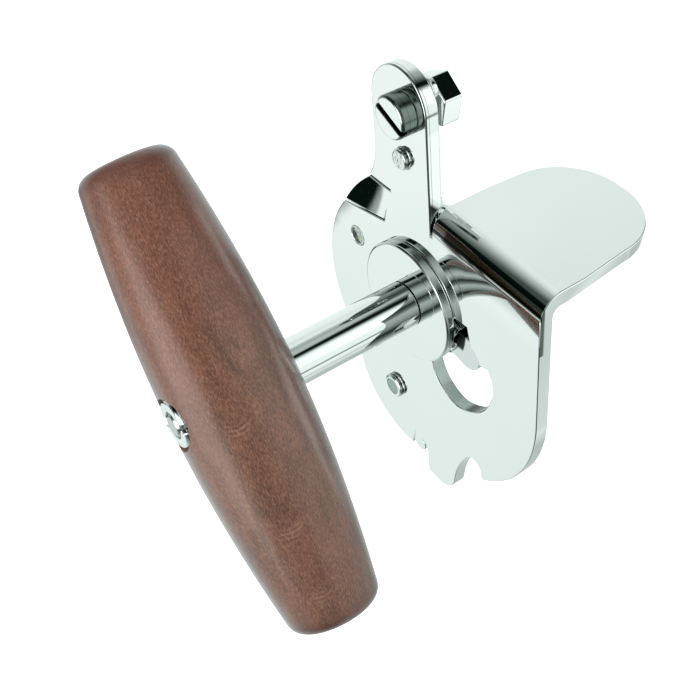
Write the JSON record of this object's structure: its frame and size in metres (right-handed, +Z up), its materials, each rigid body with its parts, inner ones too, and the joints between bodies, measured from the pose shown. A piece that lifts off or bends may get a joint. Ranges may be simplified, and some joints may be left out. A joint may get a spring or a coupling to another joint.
{
  "type": "manual can opener",
  "caption": "Chromed plate can opener with a fixed knife, a serrated wheel on a shaft in an eccentric bush, a turned wooden handle, a hand rest and a cap lifter.",
  "frame": {"origin": "the nip: above the transport wheel's top tooth, in the plane of the wheel's back face, where the can's rim is gripped under the knife", "axes": "+X along the plate to the user's right, +Y from the user to the can, +Z up the can's wall"},
  "size_m": [0.0662, 0.091, 0.0976],
  "materials": {
    "chrome": "polished",
    "steel": "ground",
    "wood": "satin stain"
  },
  "bodies": {
    "frame": {"body_plate": "chrome", "knife": "steel", "knife_screw": "chrome", "screw_collar": "chrome", "knife_nut": "chrome", "locating_pin": "chrome", "upper_stud": "chrome", "lower_stud": "chrome"},
    "bush": {"eccentric_bush": "chrome", "bush_retainer": "chrome"},
    "drive": {"drive_shaft": "chrome", "shaft_sleeve": "chrome", "transport_wheel": "steel", "handle": "wood", "handle_nut": "chrome"}
  },
  "joints": [
    {"name": "eccentric_swing", "type": "hinge", "parent": "frame", "child": "bush", "pos_m": [-0.00429, -0.00515, -0.01605], "axis": [0, 1, 0], "range_deg": [0, 34]},
    {"name": "handle_turn", "type": "hinge", "parent": "bush", "child": "drive", "pos_m": [0, -0.00515, -0.012], "axis": [0, 1, 0], "continuous": true}
  ]
}
